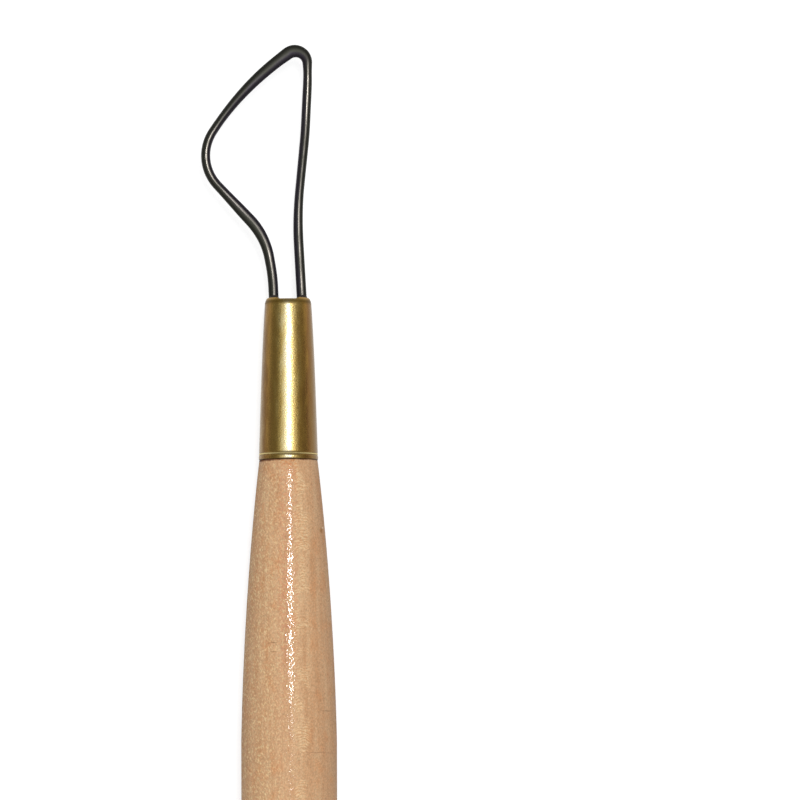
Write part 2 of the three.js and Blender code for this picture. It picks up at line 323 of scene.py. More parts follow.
class HeavyEndSettings(bpy.types.PropertyGroup):
    """Sizes of the end with the thick dark loop."""

    wood_taper: metres("Wood taper", "From the belly to the shoulder", 41 * MM)
    wood_step: metres("Wood step", "How far the wood's shoulder stands proud of the rim", -0.07 * MM)
    rim_radius: metres("Rim radius", "Outside of the ferrule at the wood", 4.31 * MM)
    low_radius: metres("Lower pull", "Pull on the taper's curve at three tenths of it", 4.06 * MM)
    high_radius: metres("Upper pull", "Pull on the taper's curve at two thirds of it", 3.91 * MM)
    shoulder_radius: metres("Shoulder radius", "Outside of the ferrule where its lip begins", 3.4 * MM)
    lip_radius: metres("Lip radius", "Outside of the ferrule at its mouth", 3.14 * MM)
    lip_height: metres("Lip height", "Over which the ferrule rolls inwards", 1.1 * MM)
    lip_dip: metres("Lip dip", "How far the mouth's edge sinks between the legs", 0.22 * MM)
    wall: metres("Wall", "Thickness of the ferrule", 0.32 * MM)
    wire_diameter: metres("Wire", "Diameter of the wire before it is bent", 1.3 * MM)


class FineEndSettings(bpy.types.PropertyGroup):
    """Sizes of the end with the thin pale loop."""

    wood_taper: metres("Wood taper", "From the belly to the shoulder", 35.5 * MM)
    wood_step: metres("Wood step", "How far the wood's shoulder stands proud of the rim", 0.04 * MM)
    rim_radius: metres("Rim radius", "Outside of the ferrule at the wood", 4.41 * MM)
    low_radius: metres("Lower pull", "Pull on the taper's curve at three tenths of it", 3.85 * MM)
    high_radius: metres("Upper pull", "Pull on the taper's curve at two thirds of it", 4.13 * MM)
    shoulder_radius: metres("Shoulder radius", "Outside of the ferrule where its lip begins", 3.56 * MM)
    lip_radius: metres("Lip radius", "Outside of the ferrule at its mouth", 3.34 * MM)
    lip_height: metres("Lip height", "Over which the ferrule rolls inwards", 1.2 * MM)
    lip_dip: metres("Lip dip", "How far the mouth's edge sinks between the legs", 0.1 * MM)
    wall: metres("Wall", "Thickness of the ferrule", 0.3 * MM)
    wire_diameter: metres("Wire", "Diameter of the wire before it is bent", 0.95 * MM)


class FinishSettings(bpy.types.PropertyGroup):
    """Colours of the materials."""

    maple: tint("Maple", "Colour of the wood under its lacquer", "#CFA67F")
    brass: tint("Brass", "Colour of the ferrules", "#9C8248")
    black_steel: tint("Blackened steel", "Colour of the thick wire", "#2E2E28")
    # The thin wire's pale colour is the colour of the painted highlight along its top
    pale_steel_painted_highlight: tint("Pale steel", "Colour of the thin wire", "#A79D90")
    solder: tint("Solder", "Colour of the fillings in the ferrules' mouths", "#5C5452")


class StageSettings(bpy.types.PropertyGroup):
    """Camera and light."""

    camera_height: metres("Camera height", "Of the camera above the tool", 0.9685)
    camera_tilt: FloatProperty(
        name="Camera tilt",
        description="How far the camera leans towards the handle",
        default=math.radians(4),
        subtype="ANGLE",
    )
    camera_roll: FloatProperty(
        name="Camera roll",
        description="How far the tool leans to the left in the picture",
        default=math.radians(0.2),
        subtype="ANGLE",
    )
    lamp_height: metres("Lamp height", "Of the softboxes above the floor", 1.5)
    key_width: metres("Key width", "Of the small softbox that draws the bright line along the tool", 0.18)


class ToolSettings(bpy.types.PropertyGroup):
    """All the settings of the tool."""

    heavy: PointerProperty(type=HeavyEndSettings)
    fine: PointerProperty(type=FineEndSettings)
    finish: PointerProperty(type=FinishSettings)
    stage: PointerProperty(type=StageSettings)


class End:
    """One end of the tool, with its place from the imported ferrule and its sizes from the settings.

    Its own lengths run from the wood's shoulder towards the loop."""

    def __init__(self, node, settings, loop, swell, ease, filling_depth, leg_gaps, leg_widths):
        low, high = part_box(node)
        self.direction = 1 if low.y > 0 else -1
        self.axis = (low.z + high.z) / 2
        self.length = high.y - low.y + SEAM
        self.mouth = high.y if self.direction > 0 else low.y
        self.shoulder = self.mouth - self.direction * self.length
        self.sizes = settings
        self.loop = loop
        self.swell = swell
        self.ease = ease
        self.filling_depth = filling_depth
        reach = settings.lip_radius - LIP_EDGE - settings.wire_diameter / 2
        self.legs = (-(reach - leg_gaps[0]), reach - leg_gaps[1])
        self.leg_widths = leg_widths

    def at(self, across, along, up):
        """A place of this end's own in the frame of the whole tool."""
        return (self.direction * across, self.shoulder + self.direction * along, self.axis + up)

    def outline(self):
        """The ferrule's outside without its bead: a long taper, then the lip rolled inwards."""
        s = self.sizes
        shoulder = self.length - s.lip_height
        taper = curve(
            (
                (s.rim_radius, 0),
                (s.low_radius, shoulder * LOW_PULL),
                (s.high_radius, shoulder * HIGH_PULL),
                (s.shoulder_radius, shoulder),
            )
        )
        edge = s.lip_radius - LIP_EDGE
        pulls = []
        for out, deep in LIP_PULLS:
            pulls.append((mix(edge, s.shoulder_radius, out), self.length - deep * s.lip_height))
        lip = curve(((s.shoulder_radius, shoulder), *pulls, (edge, self.length)), LIP_STEPS)
        return taper + lip[1:]

    def bore(self):
        """The ferrule's inside, which follows the outside and thins towards the lip."""
        outline = self.outline()
        inside = []
        for before, point, after in zip(outline[:1] + outline, outline, outline[1:] + outline[-1:]):
            run = (after - before).normalized()
            into_lip = max(0, (point.y - self.length) / self.sizes.lip_height + 1)
            thickness = mix(self.sizes.wall, LIP_EDGE, into_lip)
            inside.append(point - Vector((run.y, -run.x)) * thickness)
        return inside

    def spigot_length(self):
        return self.length - self.filling_depth

    def dip_at(self, across, along):
        """How far the mouth is pressed down between the legs at a place on or in the lip."""
        begins, full = (self.length - depth for depth in DIP_DEPTHS)
        between = 1 - smooth(*DIP_HALF_WIDTHS, abs(across))
        return self.sizes.lip_dip * between * smooth(begins, full, along)

    def ring(self, radius, along, sagging=False):
        """A turned ring of points, pressed down with the lip where it sags."""
        points = []
        for k in range(TURNED_SIDES):
            angle = 2 * math.pi * k / TURNED_SIDES
            across, up = radius * math.cos(angle), radius * math.sin(angle)
            dip = self.dip_at(across, along) if sagging else 0
            points.append(self.at(across, along - dip, up))
        return points


def both_ends():
    """The two ends of the tool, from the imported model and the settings."""
    settings = bpy.context.scene.loop_tool
    heavy = End(
        "heavy_ferrule",
        settings.heavy,
        HEAVY_LOOP,
        swell=(2.45 * MM, 21.1 * MM),
        ease=0.5 * MM,
        filling_depth=7 * MM,
        leg_gaps=(0.3 * MM, 0.32 * MM),
        leg_widths=(1.42, 1.46),
    )
    fine = End(
        "fine_ferrule",
        settings.fine,
        FINE_LOOP,
        swell=(2.12 * MM, 14.4 * MM),
        ease=7.5 * MM,
        filling_depth=7.5 * MM,
        leg_gaps=(0.18 * MM, 0.53 * MM),
        leg_widths=(1.0, 0.95),
    )
    return heavy, fine


def skin(rings, joined=False):
    """A mesh over rings of points. Joined, the last ring meets the first; otherwise the two end
    rings are capped."""
    count = len(rings[0])
    corners = [p for ring in rings for p in ring]
    faces = []
    for i in range(len(rings) if joined else len(rings) - 1):
        a, b = i * count, (i + 1) % len(rings) * count
        for k in range(count):
            n = (k + 1) % count
            faces.append((a + k, a + n, b + n, b + k))
    if not joined:
        faces.append(tuple(range(count)))
        faces.append(tuple(range(len(corners) - count, len(corners))))
    mesh = bpy.data.meshes.new("skin")
    mesh.from_pydata(corners, [], faces)
    tidy = bmesh.new()
    tidy.from_mesh(mesh)
    bmesh.ops.recalc_face_normals(tidy, faces=tidy.faces)
    tidy.to_mesh(mesh)
    tidy.free()
    return mesh


def shown(name, mesh, material):
    """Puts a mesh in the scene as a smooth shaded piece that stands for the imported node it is
    named after."""
    mesh.name = name
    mesh.materials.clear()
    mesh.materials.append(material)
    mesh.shade_smooth()
    mesh.set_sharp_from_angle(angle=math.radians(40))
    piece = bpy.data.objects.new(name + "_dressed", mesh)
    bpy.context.scene.collection.objects.link(piece)
    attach(piece, "root")
    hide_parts(name)


def combined(mesh, other, operation):
    """A mesh after another one is cut out of it or joined to it."""
    piece = bpy.data.objects.new("worked", mesh)
    tool = bpy.data.objects.new("worker", other)
    bpy.context.scene.collection.objects.link(piece)
    bpy.context.scene.collection.objects.link(tool)
    step = piece.modifiers.new("step", "BOOLEAN")
    step.operation = operation
    step.solver = "EXACT"
    step.object = tool
    bpy.context.view_layer.update()
    depsgraph = bpy.context.evaluated_depsgraph_get()
    made = bpy.data.meshes.new_from_object(piece.evaluated_get(depsgraph))
    bpy.data.objects.remove(piece)
    bpy.data.objects.remove(tool)
    return made


def wood_profile(end):
    """One half of the handle, from the spigot's end to the belly, as radius and distance from the
    shoulder, the spigot's distances being positive."""
    s = end.sizes
    bore = end.bore()
    length = end.spigot_length()
    tip = radius_at(bore, length) - SPIGOT_CLEARANCE
    root = radius_at(bore, SEAM) - SPIGOT_CLEARANCE
    edge = s.rim_radius + s.wood_step
    out, along = end.swell
    taper = curve(
        (
            (edge, 0),
            (edge + out, -along),
            (BELLY_RADIUS, end.ease - s.wood_taper),
            (BELLY_RADIUS, -s.wood_taper),
        )
    )
    spigot = [Vector((tip - SPIGOT_CHAMFER, length)), Vector((tip, length - SPIGOT_CHAMFER))]
    for i in range(SPIGOT_STEPS - 1, 0, -1):
        place = length * i / SPIGOT_STEPS
        spigot.append(Vector((radius_at(bore, place) - SPIGOT_CLEARANCE, place)))
    spigot.append(Vector((root, 0)))
    rounding = [
        Vector((edge - EDGE_ROUNDING * (1 - math.sin(a)), -EDGE_ROUNDING * (1 - math.cos(a))))
        for a in map(math.radians, (0, 22, 45, 67))
    ]
    return spigot + rounding + [p for p in taper if p.y < -EDGE_ROUNDING]


def leg_drill(end, across):
    """The drill for one leg of the wire, through the spigot's end."""
    radius = end.sizes.wire_diameter / 2 + DRILL_CLEARANCE
    rings = []
    for along in (end.length - LEG_DEPTH - DRILL_END, end.length):
        ring = []
        for k in range(DRILL_SIDES):
            angle = 2 * math.pi * k / DRILL_SIDES
            ring.append(end.at(across + radius * math.cos(angle), along, radius * math.sin(angle)))
        rings.append(ring)
    return skin(rings)


def wire_route(end):
    """Stations along the wire: its place, its heading and its width there."""
    s = end.sizes
    root, foot = end.length - ROOT_DEPTH, end.length - LEG_DEPTH
    left, right = end.legs
    plain = s.wire_diameter
    bends = [(Vector((right, root)), ROOT_RADIUS, end.leg_widths[1] * MM, end.leg_widths[1] * MM)]
    for across, rise, radius, width, leaving in end.loop:
        place = Vector((across * MM, end.length + rise * MM))
        bends.append((place, radius * MM, width * MM, leaving * MM))
    bends.append((Vector((left, root)), ROOT_RADIUS, end.leg_widths[0] * MM, end.leg_widths[0] * MM))
    corners = [Vector((right, foot)), *(b[0] for b in bends), Vector((left, foot))]
    stations = [(corners[0], Vector((0, 1)), plain)]
    for i, (corner, radius, width, leaving) in enumerate(bends, 1):
        coming = (corner - corners[i - 1]).normalized()
        going = (corners[i + 1] - corner).normalized()
        turn = math.atan2(coming.x * going.y - coming.y * going.x, coming.dot(going))
        start = corner - coming * radius * math.tan(abs(turn) / 2)
        side = math.copysign(1, turn)
        centre = start + Vector((-coming.y, coming.x)) * side * radius
        steps = max(2, math.ceil(max(abs(turn) / BEND_STEP, abs(turn) * radius / WIRE_STEP)))
        add_run(stations, start, coming, width)
        for k in range(1, steps + 1):
            angle = turn * k / steps
            c, n = math.cos(angle), math.sin(angle)
            arm = start - centre
            place = centre + Vector((arm.x * c - arm.y * n, arm.x * n + arm.y * c))
            heading = Vector((coming.x * c - coming.y * n, coming.x * n + coming.y * c))
            stations.append((place, heading, mix(width, leaving, smooth(0, steps, k))))
    add_run(stations, corners[-1], Vector((0, -1)), plain)
    return evened(stations)


def add_run(stations, goal, heading, width):
    """Adds a straight run to the goal, on which the width changes gently."""
    start, _, before = stations[-1]
    steps = max(1, math.ceil((goal - start).length / WIRE_STEP))
    for k in range(1, steps + 1):
        share = k / steps
        stations.append((start.lerp(goal, share), heading, mix(before, width, smooth(0, 1, share))))


def evened(stations):
    """The stations with each width averaged over 2.4 mm of the wire, as hammering evens it."""
    runs = [0.0]
    for (before, _, _), (place, _, _) in zip(stations, stations[1:]):
        runs.append(runs[-1] + (place - before).length)
    widths = [Vector((width, run)) for (_, _, width), run in zip(stations, runs)]
    result = []
    for (place, heading, _), run in zip(stations, runs):
        near = [radius_at(widths, max(0, run + step * 0.3 * MM)) for step in range(-4, 5)]
        result.append((place, heading, sum(near) / len(near)))
    return result


def wire_length(end):
    route = [place for place, _, _ in wire_route(end)]
    return sum((b - a).length for a, b in zip(route, route[1:]))


def swept_wire(end, growth=0.0, with_places=False):
    """The bent wire. Where it is wider than drawn it is as much thinner. With places, each point
    also carries its place on the wire as if that were straight, for the draw marks."""
    rings, straight, run = [], [], 0.0
    route = wire_route(end)
    for i, (place, heading, width) in enumerate(route):
        run += (place - route[i - 1][0]).length if i else 0
        thickness = end.sizes.wire_diameter**2 / width
        ring = []
        for k in range(WIRE_SIDES):
            angle = 2 * math.pi * k / WIRE_SIDES
            side = math.cos(angle) * (width / 2 + growth)
            up = math.sin(angle) * (thickness / 2 + growth)
            ring.append(end.at(place.x - heading.y * side, place.y + heading.x * side, up))
            straight.append((side, run, up))
        rings.append(ring)
    mesh = skin(rings)
    if with_places:
        places = mesh.attributes.new("straight_place", "FLOAT_VECTOR", "POINT")
        places.data.foreach_set("vector", [c for p in straight for c in p])
    return mesh


def filling_top(end, across, up, drop, creep):
    """How far along the top of the filling stands at a place in the mouth. It creeps up the legs
    and the wall."""
    nearest = min(math.hypot(across - leg, up) for leg in end.legs) - end.sizes.wire_diameter / 2
    wall = end.sizes.lip_radius - LIP_EDGE - math.hypot(across, up)
    height = creep * math.exp(-max(nearest, 0) / LEG_CREEP_REACH)
    height += WALL_CREEP * math.exp(-max(wall, 0) / WALL_CREEP_REACH)
    return end.length - drop - end.dip_at(across, end.length) + height


def filling_plug(end, drop, creep):
    """The filling metal between the spigot's end and the mouth."""
    bore = end.bore()
    bottom = end.spigot_length() + PLUG_GAP
    side = end.length - drop - PLUG_EDGE
    rings = []
    for share in (0.02, 0.5, 1):
        rings.append(end.ring((radius_at(bore, bottom) - FILLING_CLEARANCE) * share, bottom))
    for i in range(1, PLUG_STEPS + 1):
        along = mix(bottom, side, i / PLUG_STEPS)
        rings.append(end.ring(radius_at(bore, along) - FILLING_CLEARANCE, along, sagging=True))
    rim = radius_at(bore, end.length) - FILLING_CLEARANCE
    for i in range(TOP_STEPS):
        radius = rim * (1 - i / TOP_STEPS)
        ring = []
        for k in range(TURNED_SIDES):
            angle = 2 * math.pi * k / TURNED_SIDES
            across, up = radius * math.cos(angle), radius * math.sin(angle)
            ring.append(end.at(across, filling_top(end, across, up, drop, creep), up))
        rings.append(ring)
    return skin(rings)


def filling_web(end):
    """The metal that stands between the legs above the fine ferrule's mouth, hollow at its top."""
    left, right = end.legs
    radius = end.sizes.wire_diameter / 2
    rings = []
    bottom = end.length - WEB_ROOT
    for i in range(WEB_STEPS + 1):
        across = mix(left, right, i / WEB_STEPS)
        nearest = max(0, min(across - left, right - across) - radius)
        lift = math.exp(-nearest / WEB_CREEP_REACH)
        top = end.length + WEB_RISE + WEB_CREEP * lift
        thick = mix(*WEB_HALF_THICKNESS, lift) * MM
        rounding = min(thick, WEB_ROUNDING)
        ring = [end.at(across, bottom, -thick)]
        for k in range(WEB_ROUND_STEPS + 1):
            angle = math.pi * k / WEB_ROUND_STEPS
            along = top - rounding * (1 - math.sin(angle))
            ring.append(end.at(across, along, -thick * math.cos(angle)))
        ring.append(end.at(across, bottom, thick))
        rings.append(ring)
    return skin(rings)


WAVE_LENGTH = 0.314  # of the wave texture at a scale of 1
# Settings of a map range that runs in an S curve between its ends
EASED = {"interpolation_type": "SMOOTHSTEP"}


def material_named(name):
    """An empty node material and its shader."""
    material = bpy.data.materials.new(name)
    material.use_nodes = True
    tree = material.node_tree
    return material, tree, tree.nodes["Principled BSDF"]


def connect(tree, made, inputs):
    """Sets or links a node's inputs. A node that is given stands for its first output in use."""
    for socket, value in inputs.items():
        if isinstance(value, bpy.types.Node):
            value = next(output for output in value.outputs if output.enabled)
        if isinstance(value, bpy.types.NodeSocket):
            tree.links.new(value, made.inputs[socket])
        else:
            made.inputs[socket].default_value = value


def node(tree, kind, inputs=None, stops=None, **settings):
    """Adds a node with its settings, its colour stops, its values and its links."""
    made = tree.nodes.new("ShaderNode" + kind)
    for name, value in settings.items():
        setattr(made, name, value)
    if stops:
        elements = made.color_ramp.elements
        while len(elements) < len(stops):
            elements.new(1)
        for element, (position, colour) in zip(elements, stops):
            element.position = position
            element.color = colour
    connect(tree, made, inputs or {})
    return made


def spread(low, high, stops):
    """Colour stops given in millimetres, as shares of the way between two places."""
    return [((place * MM - low) / (high - low), colour) for place, colour in stops]


def lacquered_maple(colour):
    """Hard maple, turned, sanded and dipped in clear lacquer: pale and close grained, with short
    darker flecks, a curly patch beside the middle, and fibres that break up the lacquer's gloss."""
    material, tree, shader = material_named("lacquered_hard_maple")
    heavy, _ = both_ends()
    place = node(tree, "TexCoord").outputs["Object"]
    axes = node(tree, "SeparateXYZ", {"Vector": place})

    # The wood's patterns: the size of their grains in millimetres, across, along and deep, the turn of
    # their cells in degrees, and how finely they break up
    noises = []
    for size, turn, detail, roughness in (
        # Soft grain, in long streaks
        ((0.9, 18, 0.9), (0, 0, 0), 4, 0.6),
        # Orange patches
        ((1.8, 3, 1.8), (0, 0, 0), 3, 0.5),
        # Pale dashes, which lean across the grain
        ((0.2, 0.5, 0.3), (0, 0, 24), 2, 0.5),
        # Dark flecks, vessels cut at a slant
        ((0.12, 0.8, 0.2), (0, 0, -8), 1, 0.5),
        # Speckle of the cut fibres, which leans off the grain
        ((0.2, 0.27, 0.2), (0, 0, -30), 2, 0.6),
        # Dimples of the lacquer, turned off every axis, or their cells would line up with the grain
        ((0.35, 0.35, 0.35), (35, 28, 40), 0, 0.5),
    ):
        laid = {
            "Vector": place,
            "Rotation": [math.radians(degrees) for degrees in turn],
            "Scale": [part * MM for part in size],
        }
        at = node(tree, "Mapping", laid, vector_type="TEXTURE")
        values = {"Vector": at, "Scale": 1, "Detail": detail, "Roughness": roughness}
        noises.append(node(tree, "TexNoise", values))
    grain, patch, dash, fleck, speck, sink = noises

    warm = node(
        tree,
        "ValToRGB",
        {"Fac": grain},
        stops=((0.3, srgb("#C69A73")), (0.5, colour), (0.72, srgb("#D5B18A"))),
    )

    patchy = node(tree, "ValToRGB", {"Fac": patch}, stops=((0.5, grey(0)), (0.7, grey(0.5))))
    patched = node(tree, "Mix", {0: patchy, 6: warm, 7: srgb("#CF9364")}, data_type="RGBA")

    # The pale dashes thin out towards +X
    dashes = node(tree, "ValToRGB", {"Fac": dash}, stops=((0.52, grey(0)), (0.64, grey(1))))
    dashed_side = node(tree, "MapRange", {0: axes.outputs[0], 1: -4 * MM, 2: 3.5 * MM, 3: 0.8, 4: 0})
    dash_share = node(tree, "Math", {0: dashes, 1: dashed_side}, operation="MULTIPLY")
    base = node(tree, "Mix", {0: dash_share, 6: patched, 7: srgb("#EACF9F")}, data_type="RGBA")

    flecks = node(tree, "ValToRGB", {"Fac": fleck}, stops=((0.6, grey(0)), (0.74, grey(0.35))))
    flecked = node(tree, "Mix", {0: flecks, 6: base, 7: srgb("#A87650")}, data_type="RGBA")

    # Curly figure: pale arches 0.42 mm apart in a band about 2.4 mm wide, off the middle, which come
    # and go every few millimetres
    off_band = node(tree, "Math", {0: axes.outputs[0], 1: CURL_PLACE}, operation="SUBTRACT")
    squared = node(tree, "Math", {0: off_band, 1: off_band}, operation="MULTIPLY")
    arched = node(tree, "Math", {0: squared, 1: CURL_BEND, 2: axes.outputs[1]}, operation="MULTIPLY_ADD")
    curl_at = node(tree, "CombineXYZ", {0: axes.outputs[0], 1: arched})
    curl = node(
        tree,
        "TexWave",
        {
            "Vector": curl_at,
            "Scale": WAVE_LENGTH / CURL_SPACING,
            "Distortion": 9,
            "Detail": 2,
            "Detail Scale": 1.4,
        },
        bands_direction="Y",
    )
    inside = node(
        tree, "MapRange", {0: squared, 1: (0.6 * MM) ** 2, 2: (1.4 * MM) ** 2, 3: 0.7, 4: 0}, **EASED
    )
    comes = node(tree, "MapRange", {0: patch, 1: 0.46, 2: 0.58, 3: 0.1, 4: 1}, **EASED)
    curled = node(tree, "Math", {0: curl.outputs[1], 1: inside}, operation="MULTIPLY")
    figured_share = node(tree, "Math", {0: curled, 1: comes}, operation="MULTIPLY")
    figured = node(tree, "Mix", {0: figured_share, 6: flecked, 7: srgb("#E8CDA2")}, data_type="RGBA")

    shade = node(tree, "MapRange", {0: speck, 1: 0.3, 2: 0.7, 3: 0.82, 4: 1.2})
    speckled = node(tree, "VectorMath", {0: figured, "Scale": shade}, operation="SCALE")

    # The pin knot and the hairline cracks of the upper face
    upper = node(tree, "Math", {0: axes.outputs[2], 1: heavy.axis}, operation="GREATER_THAN")
    marked = speckled
    for (x, y), (half_x, half_y), stops in WOOD_MARKS:
        mark_at = node(
            tree,
            "Mapping",
            {
                "Vector": place,
                "Location": (-x / half_x, -y / half_y, 0),
                "Scale": (1 / (half_x * MM), 1 / (half_y * MM), 0),
            },
        )
        away = node(tree, "VectorMath", {0: mark_at}, operation="LENGTH")
        mark = node(tree, "ValToRGB", {"Fac": away}, stops=stops)
        share = node(tree, "Math", {0: mark.outputs[1], 1: upper}, operation="MULTIPLY")
        marked = node(tree, "Mix", {0: share, 6: marked, 7: mark}, data_type="RGBA")

    # A dark ragged band on the wood beside the thick loop's ferrule, wider towards one side
    to_rim = node(tree, "Math", {0: heavy.shoulder, 1: axes.outputs[1]}, operation="SUBTRACT")
    leaning = node(tree, "Math", {0: axes.outputs[0], 1: 0.03, 2: to_rim}, operation="MULTIPLY_ADD")
    ragged = node(tree, "Math", {0: patch, 1: 0.5 * MM, 2: leaning}, operation="MULTIPLY_ADD")
    blotch = node(tree, "MapRange", {0: ragged, 1: 0.28 * MM, 2: 0.5 * MM, 3: 0.85, 4: 0}, **EASED)
    blotched = node(tree, "Mix", {0: blotch, 6: marked, 7: srgb("#5C2C16")}, data_type="RGBA")

    # The lacquer sank into the fibres unevenly, in dimples, and their pits drank it up, so that its
    # gloss breaks up into specks; amber in it deepens the colour where it is seen at a slant
    sunk = node(tree, "Bump", {"Height": sink, "Strength": 1, "Distance": 0.037 * MM})
    # It dried lying flat with the thick loop's end low, so it is full along the top of that half and
    # thin elsewhere
    aside = node(tree, "Math", {0: axes.outputs[0]}, operation="ABSOLUTE")
    on_top = node(tree, "MapRange", {0: aside, 1: 0.8 * MM, 2: 1.8 * MM, 3: 1, 4: 0}, **EASED)
    low_end = node(tree, "MapRange", {0: axes.outputs[1], 1: 4 * MM, 2: 16 * MM, 3: 0, 4: 1}, **EASED)
    full = node(tree, "Math", {0: on_top, 1: low_end}, operation="MULTIPLY")
    thickness = node(tree, "MapRange", {0: full, 1: 0, 2: 1, 3: 0.25, 4: 1})
    pore = node(tree, "MapRange", {0: sink, 1: 0.46, 2: 0.53, 3: 0.08, 4: 1})
    film = node(tree, "Math", {0: thickness, 1: pore}, operation="MULTIPLY")
    looks = {
        "Base Color": blotched,
        "Roughness": 0.6,
        "Specular IOR Level": 0,
        "Coat Weight": film,
        "Coat Normal": sunk,
        "Coat IOR": 1.6,
        "Coat Roughness": 0.08,
        "Coat Tint": srgb("#F6DCC4"),
    }
    connect(tree, shader, looks)
    return material


def satin_brass(end, name, colour, mottle, across_stops, along_stops):
    """Cartridge brass, drawn to a tapered tube and tumbled: a satin gloss that a fine mottle breaks
    up. Its colour carries painted reflection in lengthwise bands, pale along the top and darker down
    the sides, and painted lines round it: painted shade in the rim's valleys and under the lip, and
    painted highlights on the rim's ridge and at the mouth's edge."""
    material, tree, shader = material_named(name)
    place = node(tree, "TexCoord").outputs["Object"]
    axes = node(tree, "SeparateXYZ", {"Vector": place})

    # Noise 0.7 mm wide and 3 mm long makes the borders between the painted bands wander
    streak_at = node(
        tree, "Mapping", {"Vector": place, "Scale": (0.7 * MM, 3 * MM, 0.7 * MM)}, vector_type="TEXTURE"
    )
    streak = node(tree, "TexNoise", {"Vector": streak_at, "Scale": 1, "Detail": 3})
    wander = node(tree, "MapRange", {0: streak, 1: 0.3, 2: 0.7, 3: -0.35 * MM, 4: 0.35 * MM})
    wandered = node(
        tree, "Math", {0: axes.outputs[0], 1: end.direction, 2: wander}, operation="MULTIPLY_ADD"
    )
    rim = end.sizes.rim_radius
    side = node(tree, "MapRange", {0: wandered, 1: -rim, 2: rim, 3: 0, 4: 1})
    sides = node(tree, "ValToRGB", {"Fac": side}, stops=spread(-rim, rim, across_stops))
    # Painted reflection: the colour across the ferrule is pale along its top as a highlight and darker
    # down its sides
    reflection_painted = node(tree, "Mix", {0: sides.outputs[1], 6: colour, 7: sides}, data_type="RGBA")

    # Painted lines by distance from the wood: a dark line at the seam, painted shade in the rim's valleys
    # and under the lip, and painted highlights on the ridge and the mouth's edge
    along = node(tree, "MapRange", {0: axes.outputs[1], 1: end.shoulder, 2: end.mouth, 3: 0, 4: 1})
    lines = node(tree, "ValToRGB", {"Fac": along}, stops=spread(0, end.length, along_stops))
    lined = node(tree, "Mix", {0: lines.outputs[1], 6: reflection_painted, 7: lines}, data_type="RGBA")

    # Mottle of 0.2 mm, the grain that tumbling leaves
    spot_at = node(tree, "Mapping", {"Vector": place, "Scale": (0.2 * MM,) * 3}, vector_type="TEXTURE")
    spot = node(tree, "TexNoise", {"Vector": spot_at, "Scale": 1, "Detail": 2, "Roughness": 0.6})
    satin = node(tree, "MapRange", {0: spot, 1: 0.3, 2: 0.7, 3: 0.22, 4: 0.36})
    rough = node(tree, "Mix", {0: lines.outputs[1], 2: satin, 3: 0.55}, data_type="FLOAT")
    dimples = node(tree, "Bump", {"Height": spot, "Strength": 1, "Distance": mottle})
    looks = {"Base Color": lined, "Metallic": 1, "Roughness": rough, "Normal": dimples}
    connect(tree, shader, looks)
    return material


